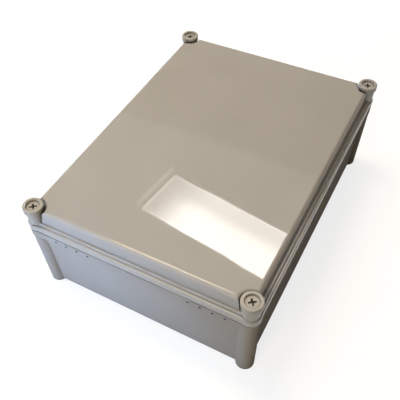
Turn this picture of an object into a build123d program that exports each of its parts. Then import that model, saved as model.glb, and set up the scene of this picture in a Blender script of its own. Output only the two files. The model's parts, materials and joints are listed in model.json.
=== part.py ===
from build123d import *
from math import radians, tan
import os

# Outdoor electrical enclosure of moulded thermoplastic, lying on its back with the lid up.
# Millimetres. X is the short side, Y the long side, Z goes up through the lid.
# The origin is the middle of the footprint, on the surface that the feet stand on.

# Overall sizes
BOX_WIDTH = 280.0
BOX_LENGTH = 380.0
BODY_HEIGHT = 130.0
LID_HEIGHT = 29.0
FOOT_HEIGHT = 1.4

# Moulded walls
WALL = 3.2
FLOOR = 3.2
LID_WALL = 3.0
DRAFT_ANGLE = 0.9
SEAM_RELIEF = 0.6

# Corner columns and the screw axes in them
AXIS_INSET = 10.5
CORNER_RADIUS = 11.5
COLUMN_STEP = 0.45
COLUMN_TAPER = 0.25
COLUMN_WALL = 4.9
CORNER_BLEND = 10.0
WALL_BLEND = 2.5
CONTACT_RADIUS = 9.5

# Base rim
RIM_HEIGHT = 10.6
RIM_STEP = 4.3
RIM_EDGE = 0.7
RIM_SHELF = 7.0
MARK_RADIUS = 1.4
MARK_DEPTH = 2.0
MARK_COUNT = 4
MARK_PITCH = 14.0
MARK_FROM_AXIS = 25.5
MARK_SHIFT = 3.0
MARK_BELOW_SEAM = 5.4

# Lid ledges and raised field
SKIRT_HEIGHT = 9.3
LOWER_LEDGE = 3.0
LEDGE_RISE = 3.2
FIELD_INSET = 6.0
FIELD_SLOPE = 1.8
FIELD_EDGE = 4.7
LEDGE_EDGE = 1.2
SKIRT_FOOT_EDGE = 0.3
NOTCH_GAP = 1.5
NOTCH_TAPER = 1.7
TOWER_RADIUS = 10.0
POCKET_GAP = 0.3

# Sealing tongue, groove and gasket
TONGUE_HEIGHT = 5.7
TONGUE_THICKNESS = 2.7
TONGUE_CORNER = 8.5
GROOVE_SIDE_GAP = 0.7
GASKET_HEIGHT = 4.9
GASKET_GAP = 0.3
GASKET_SIDE_GAP = 0.2
LIP_THICKNESS = 2.4
LIP_GAP = 2.0

# Lid screws, retaining rings and threaded bushes
HEAD_RADIUS = 11.4
HEAD_THICKNESS = 6.7
HEAD_PROUD = 3.0
HEAD_EDGE = 0.9
DISH_RADIUS = 8.1
DISH_FLOOR_RADIUS = 7.5
DISH_DEPTH = 2.4
CROSS_LENGTH = 8.4
CROSS_WIDTH = 2.0
CROSS_DEPTH = 3.4
CROSS_TAPER = 8.0
CROSS_MIDDLE = 1.9
CROSS_TURNS = {"front_left": 42, "front_right": 36, "back_right": 20, "back_left": 22}
SHANK_RADIUS = 4.5
THREAD_RADIUS = 4.2
TIP_RADIUS = 2.6
TIP_LENGTH = 2.5
NECK_RADIUS = 3.3
GUIDE_CLEARANCE = 0.3
SCREW_TRAVEL = 14.0
RING_THICKNESS = 1.6
RING_RADIUS = 6.6
RING_RUN = 0.1
RING_SLACK = 0.2
RING_SPLIT = 5.6
RING_ABOVE_SEAM = 1.4
CHAMBER_CLEARANCE = 0.6
BUSH_RADIUS = 6.95
BUSH_SEAT_GAP = 0.05
BUSH_LENGTH = 10.5
BUSH_BELOW_SEAM = 2.0
BUSH_COLLAR = 2.2
BUSH_WAIST = 0.6
THREAD_CLEARANCE = 0.2
THREAD_BELOW_BUSH = 0.5

# Wall fixing through the columns
CHANNEL_SHOULDER = 0.8
FIXING_HOLE_RADIUS = 2.75
FIXING_SEAT = 7.0

# Mounting plate, its bosses and screws
PLATE_INSET = 14.0
PLATE_THICKNESS = 2.0
BOSS_HEIGHT = 12.0
BOSS_RADIUS = 5.0
BOSS_INSET = 35.0
PLATE_HOLE_RADIUS = 2.6
PLATE_SCREW_RADIUS = 2.2
PLATE_SCREW_LENGTH = 10.0
PLATE_SCREW_CLEARANCE = 0.1
PLATE_HEAD_RADIUS = 4.6
PLATE_HEAD_HEIGHT = 3.2
PLATE_HEAD_EDGE = 1.2
PLATE_CROSS_LENGTH = 5.0
PLATE_CROSS_WIDTH = 1.0
PLATE_CROSS_DEPTH = 1.8
PILOT_EXTRA = 1.0

# Places worked out from the sizes above
AXIS_X = BOX_WIDTH / 2 - AXIS_INSET
AXIS_Y = BOX_LENGTH / 2 - AXIS_INSET
BOSS_X = BOX_WIDTH / 2 - BOSS_INSET
BOSS_Y = BOX_LENGTH / 2 - BOSS_INSET
SEAM_HEIGHT = BODY_HEIGHT - LID_HEIGHT
FLOOR_TOP = FOOT_HEIGHT + FLOOR
RIM_TOP = SEAM_HEIGHT - SEAM_RELIEF
RIM_BOTTOM = RIM_TOP - RIM_HEIGHT
WALL_DRIFT = (RIM_BOTTOM - FOOT_HEIGHT) * tan(radians(DRAFT_ANGLE))
COLUMN_RADIUS = CORNER_RADIUS - COLUMN_STEP
CAVITY_INSET = RIM_STEP + WALL
TONGUE_INSET = CAVITY_INSET + 0.1
TONGUE_INNER = TONGUE_INSET + TONGUE_THICKNESS
TONGUE_TOP = RIM_TOP + TONGUE_HEIGHT
GROOVE_INSET = TONGUE_INSET - GROOVE_SIDE_GAP
GROOVE_INNER = TONGUE_INNER + GROOVE_SIDE_GAP
GASKET_BOTTOM = TONGUE_TOP + GASKET_GAP
GROOVE_TOP = GASKET_BOTTOM + GASKET_HEIGHT
SKIRT_BOTTOM = SEAM_HEIGHT + SEAM_RELIEF
SKIRT_TOP = SEAM_HEIGHT + SKIRT_HEIGHT
LEDGE_TOP = SKIRT_TOP + LEDGE_RISE
HEAD_TOP = BODY_HEIGHT + HEAD_PROUD
HEAD_BOTTOM = HEAD_TOP - HEAD_THICKNESS
NOTCH_RADIUS = HEAD_RADIUS + NOTCH_GAP
POCKET_FLOOR = HEAD_BOTTOM - POCKET_GAP
RING_BOTTOM = SEAM_HEIGHT + RING_ABOVE_SEAM
RING_TOP = RING_BOTTOM + RING_THICKNESS
CHAMBER_TOP = RING_TOP + SCREW_TRAVEL + RING_SLACK
CHAMBER_RADIUS = RING_RADIUS + CHAMBER_CLEARANCE
BUSH_TOP = SEAM_HEIGHT - BUSH_BELOW_SEAM
BUSH_BOTTOM = BUSH_TOP - BUSH_LENGTH
THREAD_BOTTOM = BUSH_BOTTOM - THREAD_BELOW_BUSH
BUSH_HOLE_RADIUS = BUSH_RADIUS + BUSH_SEAT_GAP
INNER_NOTCH = BUSH_HOLE_RADIUS + COLUMN_WALL - CAVITY_INSET
CHANNEL_RADIUS = BUSH_RADIUS - CHANNEL_SHOULDER
BOSS_TOP = FLOOR_TOP + BOSS_HEIGHT
PLATE_TOP = BOSS_TOP + PLATE_THICKNESS

CORNERS = {
    "front_left": (-AXIS_X, -AXIS_Y),
    "front_right": (AXIS_X, -AXIS_Y),
    "back_right": (AXIS_X, AXIS_Y),
    "back_left": (-AXIS_X, AXIS_Y),
}
BOSSES = {
    "front_left": (-BOSS_X, -BOSS_Y),
    "front_right": (BOSS_X, -BOSS_Y),
    "back_right": (BOSS_X, BOSS_Y),
    "back_left": (-BOSS_X, BOSS_Y),
}
LOW = (Align.CENTER, Align.CENTER, Align.MIN)


def inner_outline(inset):
    """Rectangle inside the skirt by inset, notched round the columns, for all along the cavity's wall."""
    with BuildSketch(mode=Mode.PRIVATE) as outline:
        Rectangle(BOX_WIDTH - 2 * inset, BOX_LENGTH - 2 * inset)
        with Locations(*CORNERS.values()):
            Circle(INNER_NOTCH + inset, mode=Mode.SUBTRACT)
        fillet(outline.vertices(), max(TONGUE_CORNER + TONGUE_INSET - inset, 0.5))
    return outline.sketch_local


def side_outline(inset):
    """Plain rounded rectangle inside the skirt by inset, round the screw axes."""
    with BuildSketch(mode=Mode.PRIVATE) as outline:
        RectangleRounded(BOX_WIDTH - 2 * inset, BOX_LENGTH - 2 * inset, AXIS_INSET - inset)
    return outline.sketch_local


def column_outline(inset, radius, blend):
    """Straight sides inside the skirt by inset, blended into a circle round each screw axis."""
    with BuildSketch(mode=Mode.PRIVATE) as outline:
        Rectangle(BOX_WIDTH - 2 * inset, BOX_LENGTH - 2 * AXIS_INSET)
        Rectangle(BOX_WIDTH - 2 * AXIS_INSET, BOX_LENGTH - 2 * inset)
        with Locations(*CORNERS.values()):
            Circle(radius)
        fillet(outline.vertices(), blend)
    return outline.sketch_local


def make_rim():
    """The thicker band of the base under the seam, with softened edges."""
    with BuildPart() as rim:
        with BuildSketch(Plane.XY.offset(RIM_BOTTOM)):
            add(column_outline(0, CORNER_RADIUS, CORNER_BLEND))
        extrude(amount=RIM_HEIGHT)
        chamfer(rim.faces().sort_by(Axis.Z)[0].edges(), RIM_EDGE)
        fillet(rim.faces().sort_by(Axis.Z)[-1].edges(), RIM_EDGE)
    return rim.part


def make_cavity():
    """The space inside the base: drafted walls below, a narrower neck inside the rim."""
    with BuildPart() as cavity:
        with BuildSketch(Plane.XY.offset(FLOOR_TOP)):
            add(inner_outline(CAVITY_INSET + WALL_DRIFT))
        with BuildSketch(Plane.XY.offset(RIM_BOTTOM)):
            add(inner_outline(CAVITY_INSET))
        loft(ruled=True)
        with BuildSketch(Plane.XY.offset(RIM_BOTTOM)):
            add(inner_outline(CAVITY_INSET))
        with BuildSketch(Plane.XY.offset(RIM_TOP - RIM_SHELF)):
            add(inner_outline(TONGUE_INNER))
        loft(ruled=True)
        with BuildSketch(Plane.XY.offset(RIM_TOP - RIM_SHELF)):
            add(inner_outline(TONGUE_INNER))
        extrude(amount=RIM_SHELF + TONGUE_HEIGHT)
    return cavity.part


def make_base():
    """The base moulding: walls, floor, rim, columns with feet, tongue and bosses."""
    rim = make_rim()
    cavity = make_cavity()
    foot_radius = COLUMN_RADIUS - COLUMN_TAPER
    with BuildPart() as base:
        with BuildSketch(Plane.XY.offset(FOOT_HEIGHT)):
            add(column_outline(RIM_STEP + WALL_DRIFT, foot_radius, WALL_BLEND))
        with BuildSketch(Plane.XY.offset(RIM_BOTTOM + RIM_EDGE)):
            add(column_outline(RIM_STEP, COLUMN_RADIUS, WALL_BLEND))
        loft(ruled=True)
        with Locations(*CORNERS.values()):
            Cylinder(foot_radius, FOOT_HEIGHT, align=LOW)
        add(rim)
        with BuildSketch(Plane.XY.offset(RIM_TOP)):
            add(inner_outline(TONGUE_INSET))
        extrude(amount=TONGUE_HEIGHT)
        with Locations(*[(x, y, RIM_TOP) for x, y in CORNERS.values()]):
            Cylinder(CONTACT_RADIUS, SEAM_RELIEF, align=LOW)
        add(cavity, mode=Mode.SUBTRACT)
        with Locations(*[(x, y, FLOOR_TOP) for x, y in BOSSES.values()]):
            Cylinder(BOSS_RADIUS, BOSS_HEIGHT, align=LOW)
        cut_column_holes()
        cut_boss_holes()
        cut_rim_marks()
    return base.part


def cut_column_holes():
    """In each column: the bush seat, the channel below it and the wall fixing hole."""
    with Locations(*[(x, y, BUSH_BOTTOM) for x, y in CORNERS.values()]):
        Cylinder(BUSH_HOLE_RADIUS, SEAM_HEIGHT - BUSH_BOTTOM, align=LOW, mode=Mode.SUBTRACT)
    with Locations(*[(x, y, FIXING_SEAT) for x, y in CORNERS.values()]):
        Cylinder(CHANNEL_RADIUS, BUSH_BOTTOM - FIXING_SEAT, align=LOW, mode=Mode.SUBTRACT)
    with Locations(*CORNERS.values()):
        Cylinder(FIXING_HOLE_RADIUS, FIXING_SEAT, align=LOW, mode=Mode.SUBTRACT)


def cut_boss_holes():
    """The blind hole for a plate screw in each boss."""
    depth = PLATE_SCREW_LENGTH - PLATE_THICKNESS + PILOT_EXTRA
    radius = PLATE_SCREW_RADIUS + PLATE_SCREW_CLEARANCE
    with Locations(*[(x, y, BOSS_TOP - depth) for x, y in BOSSES.values()]):
        Cylinder(radius, depth, align=LOW, mode=Mode.SUBTRACT)


def cut_rim_marks():
    """The row of small round marks at each end of the rim, on the two short sides."""
    first = AXIS_X - MARK_FROM_AXIS
    half_row = [first - i * MARK_PITCH for i in range(MARK_COUNT)]
    row = [MARK_SHIFT + sign * x for x in half_row for sign in (-1, 1)]
    height = SEAM_HEIGHT - MARK_BELOW_SEAM
    places = [(x, y, height) for x in row for y in (-BOX_LENGTH / 2, BOX_LENGTH / 2)]
    with Locations(*places):
        Cylinder(MARK_RADIUS, 2 * MARK_DEPTH, rotation=(90, 0, 0), mode=Mode.SUBTRACT)


def make_skirt():
    """The lid's lowest tier, down to the seam, with a rounded upper edge."""
    with BuildPart() as skirt:
        with BuildSketch(Plane.XY.offset(SKIRT_BOTTOM)):
            add(column_outline(0, CORNER_RADIUS, CORNER_BLEND))
        extrude(amount=SKIRT_TOP - SKIRT_BOTTOM)
        fillet(skirt.faces().sort_by(Axis.Z)[-1].edges(), LEDGE_EDGE)
        chamfer(skirt.faces().sort_by(Axis.Z)[0].edges(), SKIRT_FOOT_EDGE)
    return skirt.part


def make_ledge():
    """The lid's middle tier, a narrow ledge below the raised field."""
    with BuildPart() as ledge:
        with BuildSketch(Plane.XY.offset(SKIRT_BOTTOM)):
            add(side_outline(LOWER_LEDGE))
        extrude(amount=LEDGE_TOP - SKIRT_BOTTOM)
        fillet(ledge.faces().sort_by(Axis.Z)[-1].edges(), LEDGE_EDGE)
    return ledge.part


def make_notch_tool(gap, bottom, top):
    """What the field loses round a screw axis: a tapered pocket that flares over a rounded edge."""
    edge = FIELD_EDGE - gap
    foot = NOTCH_RADIUS - NOTCH_TAPER + gap
    mouth = NOTCH_RADIUS + gap
    with BuildPart() as tool:
        with BuildSketch(Plane.XZ):
            with BuildLine():
                Polyline((0, top), (0, bottom), (foot, bottom), (mouth, top - edge))
                RadiusArc((mouth, top - edge), (mouth + edge, top), edge)
                Line((mouth + edge, top), (0, top))
            make_face()
        revolve(axis=Axis.Z)
    return tool.part


def make_field(gap, bottom, top):
    """The raised field's block with tapered walls and a rounded top edge, shrunk by gap."""
    inset = FIELD_INSET + gap
    notch = make_notch_tool(gap, bottom, top)
    with BuildPart() as field:
        with BuildSketch(Plane.XY.offset(bottom)):
            Rectangle(BOX_WIDTH - 2 * inset, BOX_LENGTH - 2 * inset)
        with BuildSketch(Plane.XY.offset(top)):
            Rectangle(BOX_WIDTH - 2 * inset - 2 * FIELD_SLOPE, BOX_LENGTH - 2 * inset - 2 * FIELD_SLOPE)
        loft(ruled=True)
        fillet(field.faces().sort_by(Axis.Z)[-1].edges(), FIELD_EDGE - gap)
        for x, y in CORNERS.values():
            add(notch.moved(Location((x, y, 0))), mode=Mode.SUBTRACT)
    return field.part


def make_lid():
    """The lid moulding: field, ledges, skirt, screw towers, gasket groove and lip."""
    tiers = [make_skirt(), make_ledge(), make_field(0, LEDGE_TOP, BODY_HEIGHT)]
    hollow = make_field(LID_WALL, GROOVE_TOP + LID_WALL, BODY_HEIGHT - LID_WALL)
    lip_bottom = SKIRT_BOTTOM + LIP_GAP
    with BuildPart() as lid:
        add(tiers)
        with Locations(*[(x, y, SEAM_HEIGHT) for x, y in CORNERS.values()]):
            Cylinder(CONTACT_RADIUS, SKIRT_TOP - SEAM_HEIGHT, align=LOW)
        with Locations(*[(x, y, SKIRT_BOTTOM) for x, y in CORNERS.values()]):
            Cylinder(TOWER_RADIUS, POCKET_FLOOR - SKIRT_BOTTOM, align=LOW)
        with Locations(*[(x, y, POCKET_FLOOR) for x, y in CORNERS.values()]):
            Cylinder(CONTACT_RADIUS, POCKET_GAP, align=LOW)
        with BuildSketch(Plane.XY.offset(SKIRT_BOTTOM)):
            add(inner_outline(GROOVE_INSET))
        extrude(amount=GROOVE_TOP - SKIRT_BOTTOM, mode=Mode.SUBTRACT)
        with BuildSketch(Plane.XY.offset(lip_bottom)):
            add(inner_outline(GROOVE_INNER))
        extrude(amount=GROOVE_TOP - lip_bottom)
        with BuildSketch(Plane.XY.offset(lip_bottom)):
            add(inner_outline(GROOVE_INNER + LIP_THICKNESS))
        extrude(amount=GROOVE_TOP + LID_WALL - lip_bottom, mode=Mode.SUBTRACT)
        add(hollow, mode=Mode.SUBTRACT)
        with Locations(*[(x, y, SEAM_HEIGHT) for x, y in CORNERS.values()]):
            Cylinder(CHAMBER_RADIUS, CHAMBER_TOP - SEAM_HEIGHT, align=LOW, mode=Mode.SUBTRACT)
            Cylinder(SHANK_RADIUS + GUIDE_CLEARANCE, HEAD_BOTTOM - SEAM_HEIGHT, align=LOW, mode=Mode.SUBTRACT)
    return lid.part


def make_gasket():
    """The foamed seal in the lid's groove, one closed ring."""
    with BuildPart() as gasket:
        with BuildSketch(Plane.XY.offset(GASKET_BOTTOM)):
            add(inner_outline(GROOVE_INSET + GASKET_SIDE_GAP))
            add(inner_outline(GROOVE_INNER - GASKET_SIDE_GAP), mode=Mode.SUBTRACT)
        extrude(amount=GASKET_HEIGHT)
    return gasket.part


def make_lid_screw(x, y, turn):
    """Captive lid screw: dished round head with a cross recess, shank, neck and thread."""
    with BuildPart() as screw:
        with BuildSketch(Plane.XZ):
            with BuildLine():
                Polyline(
                    (0, THREAD_BOTTOM - TIP_LENGTH),
                    (TIP_RADIUS, THREAD_BOTTOM - TIP_LENGTH),
                    (THREAD_RADIUS, THREAD_BOTTOM),
                    (THREAD_RADIUS, RING_BOTTOM - RING_SLACK),
                    (NECK_RADIUS, RING_BOTTOM - RING_SLACK),
                    (NECK_RADIUS, RING_TOP + RING_SLACK),
                    (SHANK_RADIUS, RING_TOP + RING_SLACK),
                    (SHANK_RADIUS, HEAD_BOTTOM),
                    (HEAD_RADIUS, HEAD_BOTTOM),
                    (HEAD_RADIUS, HEAD_TOP - HEAD_EDGE),
                )
                RadiusArc((HEAD_RADIUS, HEAD_TOP - HEAD_EDGE), (HEAD_RADIUS - HEAD_EDGE, HEAD_TOP), -HEAD_EDGE)
                Polyline(
                    (HEAD_RADIUS - HEAD_EDGE, HEAD_TOP),
                    (DISH_RADIUS, HEAD_TOP),
                    (DISH_FLOOR_RADIUS, HEAD_TOP - DISH_DEPTH),
                    (0, HEAD_TOP - DISH_DEPTH),
                    (0, THREAD_BOTTOM - TIP_LENGTH),
                )
            make_face()
        revolve(axis=Axis.Z)
        with BuildSketch(Plane.XY.offset(HEAD_TOP - DISH_DEPTH)):
            Rectangle(CROSS_LENGTH, CROSS_WIDTH, rotation=turn)
            Rectangle(CROSS_WIDTH, CROSS_LENGTH, rotation=turn)
        extrude(amount=-CROSS_DEPTH, taper=CROSS_TAPER, mode=Mode.SUBTRACT)
        with Locations((0, 0, HEAD_TOP - DISH_DEPTH - CROSS_DEPTH)):
            Cone(CROSS_MIDDLE / 2, CROSS_MIDDLE, CROSS_DEPTH, align=LOW, mode=Mode.SUBTRACT)
    return screw.part.moved(Location((x, y, 0)))


def make_retainer(x, y):
    """Split ring on the screw's neck, which stops the screw from leaving the lid."""
    with BuildPart() as ring:
        with BuildSketch(Plane.XY.offset(RING_BOTTOM)):
            Circle(RING_RADIUS)
            Circle(NECK_RADIUS + RING_RUN, mode=Mode.SUBTRACT)
            with Locations((RING_RADIUS, 0)):
                Rectangle(2 * RING_RADIUS, RING_SPLIT, mode=Mode.SUBTRACT)
        extrude(amount=RING_THICKNESS)
    return ring.part.moved(Location((x, y, 0)))


def make_bush(x, y):
    """Bush in the column's top: a waisted outside that grips, a plain bore for the thread."""
    waist = BUSH_RADIUS - BUSH_WAIST
    with BuildPart() as bush:
        with BuildSketch(Plane.XZ):
            with BuildLine():
                Polyline(
                    (THREAD_RADIUS + THREAD_CLEARANCE, BUSH_BOTTOM),
                    (BUSH_RADIUS, BUSH_BOTTOM),
                    (BUSH_RADIUS, BUSH_BOTTOM + BUSH_COLLAR),
                    (waist, BUSH_BOTTOM + BUSH_COLLAR + BUSH_WAIST),
                    (waist, BUSH_TOP - BUSH_COLLAR - BUSH_WAIST),
                    (BUSH_RADIUS, BUSH_TOP - BUSH_COLLAR),
                    (BUSH_RADIUS, BUSH_TOP),
                    (THREAD_RADIUS + THREAD_CLEARANCE, BUSH_TOP),
                    close=True,
                )
            make_face()
        revolve(axis=Axis.Z)
    return bush.part.moved(Location((x, y, 0)))


def make_mounting_plate():
    """Sheet steel plate with notched corners and a hole over each boss."""
    with BuildPart() as plate:
        with BuildSketch(Plane.XY.offset(BOSS_TOP)):
            add(inner_outline(PLATE_INSET))
            with Locations(*BOSSES.values()):
                Circle(PLATE_HOLE_RADIUS, mode=Mode.SUBTRACT)
        extrude(amount=PLATE_THICKNESS)
    return plate.part


def make_plate_screw(x, y):
    """Self-tapping pan head screw that holds the plate on its boss."""
    with BuildPart() as screw:
        with Locations((0, 0, PLATE_TOP)):
            Cylinder(PLATE_HEAD_RADIUS, PLATE_HEAD_HEIGHT, align=LOW)
        fillet(screw.edges().sort_by(Axis.Z)[-1], PLATE_HEAD_EDGE)
        with BuildSketch(Plane.XY.offset(PLATE_TOP + PLATE_HEAD_HEIGHT)):
            Rectangle(PLATE_CROSS_LENGTH, PLATE_CROSS_WIDTH)
            Rectangle(PLATE_CROSS_WIDTH, PLATE_CROSS_LENGTH)
        extrude(amount=-PLATE_CROSS_DEPTH, mode=Mode.SUBTRACT)
        with Locations((0, 0, PLATE_TOP - PLATE_SCREW_LENGTH)):
            Cylinder(PLATE_SCREW_RADIUS, PLATE_SCREW_LENGTH, align=LOW)
    return screw.part.moved(Location((x, y, 0)))


def save(piece, name):
    """Labels a finished piece and writes it as its own STEP file."""
    piece.label = name
    export_step(piece, f"parts/{name}.step")


os.makedirs("parts", exist_ok=True)
save(make_base(), "base")
save(make_lid(), "lid")
save(make_gasket(), "lid_gasket")
save(make_mounting_plate(), "mounting_plate")
for corner, (x, y) in CORNERS.items():
    save(make_lid_screw(x, y, CROSS_TURNS[corner]), f"lid_screw_{corner}")
    save(make_retainer(x, y), f"screw_retainer_{corner}")
    save(make_bush(x, y), f"threaded_bush_{corner}")
for corner, (x, y) in BOSSES.items():
    save(make_plate_screw(x, y), f"plate_screw_{corner}")
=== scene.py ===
import json
import math

import bmesh
import bpy
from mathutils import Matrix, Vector


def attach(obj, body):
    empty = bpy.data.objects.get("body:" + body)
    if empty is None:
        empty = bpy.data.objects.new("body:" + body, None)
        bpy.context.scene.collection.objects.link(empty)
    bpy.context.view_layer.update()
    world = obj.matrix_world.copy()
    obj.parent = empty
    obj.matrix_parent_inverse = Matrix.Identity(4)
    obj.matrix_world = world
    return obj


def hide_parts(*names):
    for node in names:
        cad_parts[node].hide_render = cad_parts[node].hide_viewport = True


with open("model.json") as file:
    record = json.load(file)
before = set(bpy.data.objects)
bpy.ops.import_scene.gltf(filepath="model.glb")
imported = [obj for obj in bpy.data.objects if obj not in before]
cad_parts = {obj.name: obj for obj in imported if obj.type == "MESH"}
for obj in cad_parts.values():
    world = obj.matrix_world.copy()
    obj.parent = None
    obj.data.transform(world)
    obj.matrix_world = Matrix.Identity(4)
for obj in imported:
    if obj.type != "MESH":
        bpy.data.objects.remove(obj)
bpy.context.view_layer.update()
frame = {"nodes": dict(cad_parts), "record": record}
nodes = frame["nodes"]
scene = bpy.context.scene

# The camera, fitted to the lid screws, lid edges, seam, rim and feet of the photograph
IMAGE_SIDE = 400.0
FOCAL_PX = 516.7
MIDDLE_PX = (188.0, 245.0)
SENSOR_MM = 36.0
CAMERA_PLACE = (0.2041, -0.4140, 0.5509)
CAMERA_ANGLES = (36.33, 1.89, 28.43)
CAMERA_CLIP = (0.01, 50.0)


def make_camera():
    """The camera, with the middle of its view where the photograph has it."""
    data = bpy.data.cameras.new("camera")
    data.sensor_width = SENSOR_MM
    data.lens = FOCAL_PX / IMAGE_SIDE * SENSOR_MM
    data.shift_x = (IMAGE_SIDE / 2 - MIDDLE_PX[0]) / IMAGE_SIDE
    data.shift_y = (MIDDLE_PX[1] - IMAGE_SIDE / 2) / IMAGE_SIDE
    data.clip_start, data.clip_end = CAMERA_CLIP
    camera = bpy.data.objects.new("camera", data)
    camera.location = CAMERA_PLACE
    camera.rotation_euler = [math.radians(angle) for angle in CAMERA_ANGLES]
    scene.collection.objects.link(camera)
    scene.camera = camera


# The plain cylinders that take a thread, and its depth, which is negative inwards
SCREW_THREAD = {"radius": 0.0042, "low": 0.0880, "high": 0.1022, "depth": -0.0008}
BUSH_THREAD = {"radius": 0.0044, "low": 0.0885, "high": 0.0990, "depth": 0.0006}

# One coil of a thread, as pairs of a share of the pitch and a share of the depth
THREAD_PROFILE = ((0.0, 0.0), (0.22, 0.0), (0.5, 1.0), (0.72, 1.0))
THREAD_PITCH = 0.003
THREAD_RUN_OUT = 0.0012

# Points nearer to each other than MERGE are one, and points within ON_WALL of a wall are on it
MERGE = 0.000002
ON_WALL = 5 * MERGE
SHARP_DEGREES = 32.0


def screw_axes():
    """The middle of each lid screw, by corner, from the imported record's joints."""
    prefix = "screw_turn_"
    turns = [j for j in frame["record"]["behaviour"]["joints"] if j["name"].startswith(prefix)]
    return {joint["name"].removeprefix(prefix): joint["pos_m"][:2] for joint in turns}


def cylinder_wall(bm, axis, radius, low, high):
    """The upright faces of the plain cylinder of that radius round the axis."""
    def on_wall(vert):
        reach = math.hypot(vert.co.x - axis[0], vert.co.y - axis[1])
        return abs(reach - radius) < ON_WALL and low - MERGE < vert.co.z < high + MERGE

    return [face for face in bm.faces if all(map(on_wall, face.verts)) and abs(face.normal.z) < 0.5]


def thread_line(turn, low, high):
    """The thread's points up the wall at that angle, each as its height and its share of the depth."""
    # The coils reach past both ends, and their points are held back there
    for coil in range(-2, math.ceil((high - low) / THREAD_PITCH) + 1):
        for part, share in THREAD_PROFILE:
            z = low + THREAD_PITCH * (coil + part + 0.5 + turn / (2 * math.pi))
            z = min(max(z, low), high)
            fade = min(1.0, (z - low) / THREAD_RUN_OUT, (high - z) / THREAD_RUN_OUT)
            yield z, share * fade


def cut_thread(bm, axis, radius, low, high, depth):
    """Puts a right-hand thread in the place of the plain cylinder of that radius round the axis."""
    wall = cylinder_wall(bm, axis, radius, low, high)
    # The wall's places round the axis, by their angle
    ring = {}
    for face in wall:
        for vert in face.verts:
            x, y = vert.co.x - axis[0], vert.co.y - axis[1]
            ring[round(math.atan2(y, x), 4)] = (x, y)
    bmesh.ops.delete(bm, geom=wall, context="FACES")
    grid = []
    for turn, (x, y) in sorted(ring.items()):
        column = []
        for z, share in thread_line(turn, low, high):
            scale = 1.0 + depth * share / radius
            column.append(bm.verts.new((axis[0] + x * scale, axis[1] + y * scale, z)))
        grid.append(column)
    # The last column meets the first one a coil further up its list
    shifts = [0] * (len(grid) - 1) + [len(THREAD_PROFILE)]
    for left, right, shift in zip(grid, grid[1:] + grid[:1], shifts):
        for k in range(len(left) - 1 - shift):
            bm.faces.new((left[k], right[k + shift], right[k + 1 + shift], left[k + 1]))
    bmesh.ops.remove_doubles(bm, verts=bm.verts, dist=MERGE)
    bmesh.ops.recalc_face_normals(bm, faces=bm.faces)


def make_threaded(node, body, axis, thread, material):
    """The piece that stands for a screw or a bush, the same but for its thread."""
    bm = bmesh.new()
    bm.from_mesh(nodes[node].data)
    bmesh.ops.remove_doubles(bm, verts=bm.verts, dist=MERGE)
    cut_thread(bm, axis, **thread)
    mesh = bpy.data.meshes.new(node + "_threaded")
    bm.to_mesh(mesh)
    bm.free()
    for name in ("custom_normal", "sharp_edge", "sharp_face"):
        if name in mesh.attributes:
            mesh.attributes.remove(mesh.attributes[name])
    mesh.polygons.foreach_set("use_smooth", [True] * len(mesh.polygons))
    mesh.set_sharp_from_angle(angle=math.radians(SHARP_DEGREES))
    mesh.materials.append(material)
    piece = bpy.data.objects.new(node + "_threaded", mesh)
    scene.collection.objects.link(piece)
    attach(piece, body)
    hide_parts(node)


# Most of a noise texture's values lie between these
NOISE_SPAN = (0.3, 0.7)


def linear(r, g, b):
    """An sRGB colour in 0 to 255 as linear RGBA."""
    def one(value):
        share = value / 255.0
        return share / 12.92 if share <= 0.04045 else ((share + 0.055) / 1.055) ** 2.4
    return (one(r), one(g), one(b), 1.0)


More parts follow.
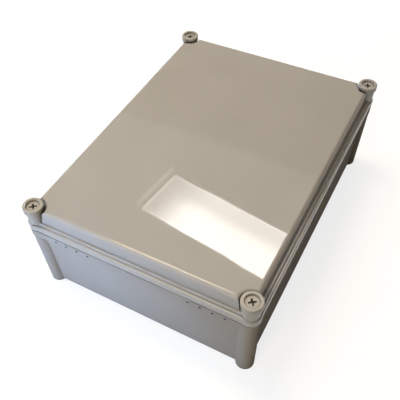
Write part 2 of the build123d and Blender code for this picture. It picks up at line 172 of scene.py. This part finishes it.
class Nodes:
    """A material's or world's node tree, with short calls for adding and joining nodes."""

    def __init__(self, owner):
        owner.use_nodes = True
        self.tree = owner.node_tree
        self.tree.nodes.clear()

    def add(self, kind, sockets=(), **settings):
        """A new node; a socket, given by its name or number, takes a value or a node's output."""
        node = self.tree.nodes.new(kind)
        for name, value in settings.items():
            setattr(node, name, value)
        for key, value in dict(sockets).items():
            if isinstance(value, bpy.types.NodeSocket):
                self.tree.links.new(value, node.inputs[key])
            else:
                node.inputs[key].default_value = value
        return node

    def place(self):
        """The place in the object's own coordinates, which on the enclosure's pieces are the frame's."""
        return self.add("ShaderNodeTexCoord").outputs["Object"]

    def place_parts(self):
        """The same place as its X, Y and Z."""
        return self.add("ShaderNodeSeparateXYZ", {"Vector": self.place()}).outputs

    def noise(self, scale, detail=3.0, stretch=None):
        """Noise with so many cells a metre, times stretch along each axis."""
        place = self.place()
        if stretch:
            place = self.add("ShaderNodeMapping", {"Vector": place, "Scale": stretch}).outputs["Vector"]
        sockets = {"Vector": place, "Scale": scale, "Detail": detail}
        return self.add("ShaderNodeTexNoise", sockets).outputs["Fac"]

    def between(self, factor, low, high, start=NOISE_SPAN[0], end=NOISE_SPAN[1], shape="LINEAR"):
        """A number from low to high as factor goes from start to end."""
        sockets = {"Value": factor, "From Min": start, "From Max": end, "To Min": low, "To Max": high}
        return self.add("ShaderNodeMapRange", sockets, interpolation_type=shape).outputs["Result"]

    def rise(self, factor, start, end):
        """From 0 to 1, softly, as factor goes from start to end."""
        return self.between(factor, 0.0, 1.0, start, end, shape="SMOOTHSTEP")

    def colours(self, factor, first, second):
        """A colour from the first to the second, as a noise factor rises."""
        ramp = self.add("ShaderNodeValToRGB", {"Fac": factor})
        for element, position, colour in zip(ramp.color_ramp.elements, NOISE_SPAN, (first, second)):
            element.position = position
            element.color = colour
        return ramp.outputs["Color"]

    def math(self, operation, *values):
        """The result of a Math node."""
        return self.add("ShaderNodeMath", dict(enumerate(values)), operation=operation).outputs[0]

    def mix(self, factor, first, second):
        """The first shader where factor is 0, the second where it is 1."""
        return self.add("ShaderNodeMixShader", {"Fac": factor, 1: first, 2: second}).outputs[0]

    def seen_directly(self):
        """1 for camera, glossy and transmission rays, 0 for the rest."""
        path = self.add("ShaderNodeLightPath").outputs
        first = self.math("MAXIMUM", path["Is Camera Ray"], path["Is Glossy Ray"])
        return self.math("MAXIMUM", first, path["Is Transmission Ray"])

    def bumps(self, *layers):
        """Bump layers, each (height, strength, distance), as one normal."""
        normal = None
        for height, strength, distance in layers:
            sockets = {"Height": height, "Strength": strength, "Distance": distance}
            if normal:
                sockets["Normal"] = normal
            normal = self.add("ShaderNodeBump", sockets).outputs["Normal"]
        return normal

    def show(self, shader):
        """Puts a shader on the material's output."""
        self.add("ShaderNodeOutputMaterial", {"Surface": shader})

    def surface(self, sockets):
        """Puts the Principled shader on the output, with its sockets' values."""
        self.show(self.add("ShaderNodeBsdfPrincipled", sockets).outputs["BSDF"])

    def glow(self, colour, strength):
        """Puts an emission on the output."""
        self.show(self.add("ShaderNodeEmission", {"Color": colour, "Strength": strength}).outputs[0])


def new_material(name):
    """A material and its empty node tree."""
    material = bpy.data.materials.new(name)
    return material, Nodes(material)


# The crevice shade looks this far for what shuts a spot in, and fades over this span of openness
CREVICE_REACH = 0.004
CREVICE_SPAN = 0.5

# The lid's glossy field begins at this height, above its satin ledges
FIELD_FOOT = 0.118
FIELD_FOOT_SPAN = 0.001

# Roughness varies between these shares of its value, and bumps are this high
ROUGH_SHARES = (0.88, 1.15)
GRAIN_HEIGHT = 0.0001
WAVE_HEIGHT = 0.002


def moulded_plastic(
    name, light, dark, rough, grain, specular, wave=0.0, open_from=0.75, crevice=0.08, satin=0.0
):
    """Moulded thermoplastic, with faint clouds of colour, fine grain and slow waves in its gloss.

    A spot less open than open_from gets painted shade, darker down to the share crevice of its
    colour, and the roughness below FIELD_FOOT is at least satin."""
    material, nt = new_material(name)
    clouds = nt.colours(nt.noise(scale=14.0, detail=4.0), dark, light)
    # Painted shade: the colour darkens where nearby surfaces shut a spot in
    openness = nt.add("ShaderNodeAmbientOcclusion", {"Distance": CREVICE_REACH}, samples=8)
    shade = nt.between(openness.outputs["AO"], crevice, 1.0, open_from - CREVICE_SPAN, open_from)
    colour = nt.add("ShaderNodeVectorMath", {0: clouds, "Scale": shade}, operation="SCALE")
    roughness = nt.between(nt.noise(scale=60.0), *[rough * share for share in ROUGH_SHARES])
    if satin:
        height = nt.place_parts()["Z"]
        below_field = nt.between(height, satin, 0.0, FIELD_FOOT, FIELD_FOOT + FIELD_FOOT_SPAN)
        roughness = nt.math("MAXIMUM", roughness, below_field)
    layers = [(nt.noise(scale=1600.0, detail=2.0), grain, GRAIN_HEIGHT)]
    if wave:
        layers.append((nt.noise(scale=9.0, detail=1.0), wave, WAVE_HEIGHT))
    nt.surface({
        "Base Color": colour.outputs["Vector"],
        "Roughness": roughness,
        "Specular IOR Level": specular,
        "Normal": nt.bumps(*layers),
    })
    return material


def foam_seal(name):
    """Foamed seal: mottled, matt and covered in fine cells."""
    material, nt = new_material(name)
    cells = nt.add("ShaderNodeTexVoronoi", {"Vector": nt.place(), "Scale": 1800.0})
    nt.surface({
        "Base Color": nt.colours(nt.noise(scale=300.0), linear(116, 116, 112), linear(138, 138, 133)),
        "Roughness": 0.85,
        "Specular IOR Level": 0.25,
        "Normal": nt.bumps((cells.outputs["Distance"], 0.5, 0.0003)),
    })
    return material


def zinc_plate(name, stretch=None):
    """Zinc-plated steel, with a faint spangle; the stretch draws its grain out along an axis."""
    material, nt = new_material(name)
    grain = nt.noise(scale=260.0, detail=6.0, stretch=stretch)
    spangle = nt.noise(scale=45.0, detail=2.0)
    nt.surface({
        "Base Color": nt.colours(spangle, linear(176, 180, 184), linear(205, 207, 208)),
        "Metallic": 1.0,
        "Roughness": nt.between(grain, 0.30, 0.48),
        "Normal": nt.bumps((grain, 0.12, 0.0002)),
    })
    return material


def turned_brass(name):
    """Turned brass, with fine level rings."""
    material, nt = new_material(name)
    rings = nt.noise(scale=900.0, stretch=(0.02, 0.02, 1.0))
    nt.surface({
        "Base Color": nt.colours(nt.noise(scale=80.0), linear(196, 164, 92), linear(216, 186, 118)),
        "Metallic": 1.0,
        "Roughness": nt.between(rings, 0.22, 0.38),
        "Normal": nt.bumps((rings, 0.2, 0.0002)),
    })
    return material


def dress(material, name):
    """Gives a CAD node its material."""
    for slot in nodes[name].material_slots:
        slot.material = material


def dress_nodes():
    """The finish of every CAD node, or of the threaded piece that stands for it."""
    base_plastic = moulded_plastic(
        "base_plastic", light=linear(182, 175, 164), dark=linear(175, 168, 157),
        rough=0.70, grain=0.10, specular=0.02, open_from=0.92,
    )
    lid_plastic = moulded_plastic(
        "lid_plastic", light=linear(180, 175, 167), dark=linear(175, 170, 161),
        rough=0.025, grain=0.01, specular=0.5, wave=0.10, crevice=0.3, satin=0.25,
    )
    screw_plastic = moulded_plastic(
        "screw_plastic", light=linear(177, 171, 161), dark=linear(171, 165, 155),
        rough=0.38, grain=0.12, specular=0.4, open_from=0.88,
    )
    retainer_plastic = moulded_plastic(
        "retainer_plastic", light=linear(226, 225, 218), dark=linear(218, 217, 209),
        rough=0.4, grain=0.1, specular=0.4,
    )
    bush_brass = turned_brass("bush_brass")
    screw_zinc = zinc_plate("screw_zinc")
    dress(base_plastic, "base")
    dress(lid_plastic, "lid")
    dress(foam_seal("gasket_foam"), "lid_gasket")
    dress(zinc_plate("plate_zinc", stretch=(1.0, 0.02, 1.0)), "mounting_plate")
    for corner, axis in screw_axes().items():
        dress(retainer_plastic, f"screw_retainer_{corner}")
        dress(screw_zinc, f"plate_screw_{corner}")
        make_threaded(
            f"lid_screw_{corner}", f"screw_{corner}", axis, SCREW_THREAD, screw_plastic
        )
        make_threaded(
            f"threaded_bush_{corner}", "base", axis, BUSH_THREAD, bush_brass
        )


# The world and the floor: white where they are seen, and dimmer where they light the object
WHITE = (1.0, 1.0, 1.0, 1.0)
WORLD_COLOUR = (1.0, 0.98, 0.95, 1.0)
WORLD_LIGHT = 0.04
FLOOR_REACH = 6.0
FLOOR_DROP = 0.0002
FLOOR_BOUNCE = (0.38, 0.37, 0.36, 1.0)
FLOOR_PAPER = (0.95, 0.95, 0.95, 1.0)
FLOOR_GLOW = 1.15

# The share of the floor's white that takes shadows, and how far from the middle it fades out
FLOOR_SHADE = 0.30
FLOOR_SHADE_FADE = (0.6, 2.0)


def make_world():
    """A weak warm light from all round, which is white where it is seen."""
    world = bpy.data.worlds.new("world")
    scene.world = world
    nt = Nodes(world)
    soft = nt.add("ShaderNodeBackground", {"Color": WORLD_COLOUR, "Strength": WORLD_LIGHT})
    white = nt.add("ShaderNodeBackground", {"Color": WHITE, "Strength": 1.0})
    shader = nt.mix(nt.seen_directly(), soft.outputs[0], white.outputs[0])
    nt.add("ShaderNodeOutputWorld", {"Surface": shader})


def flat_piece(name, corners, material):
    """A flat surface with four corners."""
    mesh = bpy.data.meshes.new(name)
    mesh.from_pydata(corners, [], [(0, 1, 2, 3)])
    mesh.materials.append(material)
    piece = bpy.data.objects.new(name, mesh)
    scene.collection.objects.link(piece)
    return piece


def make_floor():
    """A white floor that shows the object's soft shadow and throws little light back on it."""
    material, nt = new_material("floor_white")
    bounce = nt.add("ShaderNodeBsdfDiffuse", {"Color": FLOOR_BOUNCE})
    paper = nt.add("ShaderNodeBsdfDiffuse", {"Color": FLOOR_PAPER})
    glow = nt.add("ShaderNodeEmission", {"Color": WHITE, "Strength": FLOOR_GLOW})
    distance = nt.add("ShaderNodeVectorMath", {0: nt.place()}, operation="LENGTH")
    glow_share = nt.between(distance.outputs["Value"], 1.0 - FLOOR_SHADE, 1.0, *FLOOR_SHADE_FADE)
    seen = nt.mix(glow_share, paper.outputs[0], glow.outputs[0])
    nt.show(nt.mix(nt.seen_directly(), bounce.outputs[0], seen))
    side = FLOOR_REACH
    corners = [(-side, -side, 0), (side, -side, 0), (side, side, 0), (-side, side, 0)]
    floor = flat_piece("floor", corners, material)
    floor.location.z = -FLOOR_DROP


# The turn of both ceiling lights about the upright, in degrees
PANEL_TURN = -8.5

# The ceiling light that the lid's field mirrors
PANEL_SIZE = (1.00, 0.30)
PANEL_PLACE = (-0.412, 1.082, 1.80)
PANEL_COLOUR = (1.0, 0.97, 0.93, 1.0)
DIFFUSER_GLOW = (4.2, 10.5)
BAND_GLOW = 6.6
RIM_GLOW = 3.0

# Where each part of its glow starts to change and where it is done, as distances from its edges
DIFFUSER_LEFT = (0.03, 0.28)
BAND_LEFT = (0.04, 0.24)
BAND_RIGHT = (0.16, 0.26)
BAND_NEAR = (0.24, 0.12)
RIM_WIDTHS = (0.008, 0.012)

# The second ceiling light, which the lid's edges mirror, and where along it its reflection fades in
SECOND_SIZE = (0.80, 0.52)
SECOND_PLACE = (-0.645, 0.25, 1.80)
SECOND_COLOUR = (1.0, 0.82, 0.60, 1.0)
SECOND_GLOW = 18.2
SECOND_FADE = (-0.24, -0.10)


def make_panel(name, size, place, material):
    """A flat ceiling light that faces down and stays out of the camera's sight."""
    x, y = size[0] / 2, size[1] / 2
    panel = flat_piece(name, [(-x, -y, 0), (-x, y, 0), (x, y, 0), (x, -y, 0)], material)
    panel.location = place
    panel.rotation_euler.z = math.radians(PANEL_TURN)
    panel.visible_camera = False
    return panel


def make_ceiling_light():
    """A light that shows in reflections only: an even diffuser, dimmer towards its left end, with a
    soft bright band along its near side and a bright rim."""
    material, nt = new_material("ceiling_light")
    x, y = PANEL_SIZE[0] / 2, PANEL_SIZE[1] / 2
    parts = nt.place_parts()
    band = nt.rise(parts["X"], *[distance - x for distance in BAND_LEFT])
    right_end = nt.rise(parts["X"], *[x - distance for distance in BAND_RIGHT])
    near_side = nt.rise(parts["Y"], *[distance - y for distance in BAND_NEAR])
    for factor in (right_end, near_side, BAND_GLOW):
        band = nt.math("MULTIPLY", band, factor)
    even = nt.between(parts["X"], *DIFFUSER_GLOW, *[distance - x for distance in DIFFUSER_LEFT])
    from_end = nt.math("SUBTRACT", x, nt.math("ABSOLUTE", parts["X"]))
    from_side = nt.math("SUBTRACT", y, nt.math("ABSOLUTE", parts["Y"]))
    rim = nt.between(nt.math("MINIMUM", from_end, from_side), RIM_GLOW, 0.0, *RIM_WIDTHS)
    nt.glow(PANEL_COLOUR, nt.math("ADD", band, nt.math("ADD", even, rim)))
    panel = make_panel("ceiling_light", PANEL_SIZE, PANEL_PLACE, material)
    panel.visible_diffuse = False


def make_second_light():
    """The second ceiling light, which lights the object too; reflections leave out its left end."""
    material, nt = new_material("second_light")
    unmirrored = nt.math("SUBTRACT", 1.0, nt.add("ShaderNodeLightPath").outputs["Is Glossy Ray"])
    shown = nt.math("MAXIMUM", nt.rise(nt.place_parts()["X"], *SECOND_FADE), unmirrored)
    nt.glow(SECOND_COLOUR, nt.math("MULTIPLY", shown, SECOND_GLOW))
    make_panel("second_light", SECOND_SIZE, SECOND_PLACE, material)


# Surfaces that show in reflections only: two darker parts of the room, and the ceiling light's trim
CARD_COLOUR = (1.0, 0.97, 0.94, 1.0)
CARDS = {
    "back_ceiling": {
        "glow": 0.55,
        "corners": [(-6.0, 1.58, 1.85), (2.0, 1.74, 1.85), (2.0, 9.0, 1.85), (-6.0, 9.0, 1.85)],
    },
    "right_side": {
        "glow": 0.25,
        "corners": [(1.2, -2.0, 0.0), (1.2, 3.0, 0.0), (1.2, 3.0, 2.2), (1.2, -2.0, 2.2)],
    },
    "trim": {
        "glow": 2.5,
        "corners": [
            (-0.976, 1.018, 1.8), (-0.950, 1.014, 1.8), (-0.908, 1.346, 1.8), (-0.934, 1.350, 1.8)
        ],
    },
}


def make_card(name, glow, corners):
    """A flat surface that shows in reflections only."""
    material, nt = new_material(name)
    nt.glow(CARD_COLOUR, glow)
    card = flat_piece(name, corners, material)
    card.visible_camera = False
    card.visible_diffuse = False
    card.visible_shadow = False


# The lamps, with the point that each aims at, its spread in degrees, and its linear colour
LAMPS = {
    "left_lamp": {
        "place": (-1.3, -0.5, 1.6), "aim": (0.0, 0.0, 0.1), "size": (1.2, 1.2),
        "watts": 9.9, "colour": (0.277, 0.606, 1.0),
    },
    "front_lamp": {
        "place": (0.05, -0.90, 0.80), "aim": (0.0, -0.19, 0.08), "size": (0.3, 0.3),
        "watts": 4.1, "colour": (1.0, 0.88, 0.70),
    },
    "cool_lamp": {
        "place": (-0.34, -0.75, 0.19), "aim": (-0.07, -0.19, 0.07), "size": (0.08, 0.08),
        "watts": 0.185, "colour": (0.39, 0.59, 1.0), "spread": 36.0,
    },
    "back_lamp": {
        "place": (-0.25, 1.35, 0.17), "aim": (0.0, 0.19, 0.06), "size": (0.5, 0.2),
        "watts": 8.0, "colour": (1.0, 0.97, 0.93),
    },
}


def make_lamp(name, place, aim, size, watts, colour, spread=180.0):
    """A flat soft lamp that doesn't show in reflections."""
    data = bpy.data.lights.new(name, "AREA")
    data.shape = "RECTANGLE"
    data.size, data.size_y = size
    data.energy = watts
    data.color = colour
    data.spread = math.radians(spread)
    lamp = bpy.data.objects.new(name, data)
    lamp.location = place
    lamp.rotation_euler = (Vector(aim) - Vector(place)).to_track_quat("-Z", "Y").to_euler()
    lamp.visible_glossy = False
    scene.collection.objects.link(lamp)


make_camera()
make_world()
make_floor()
make_ceiling_light()
make_second_light()
for card_name, card_values in CARDS.items():
    make_card(card_name, **card_values)
for lamp_name, lamp_values in LAMPS.items():
    make_lamp(lamp_name, **lamp_values)
dress_nodes()

scene.view_settings.view_transform = "Standard"
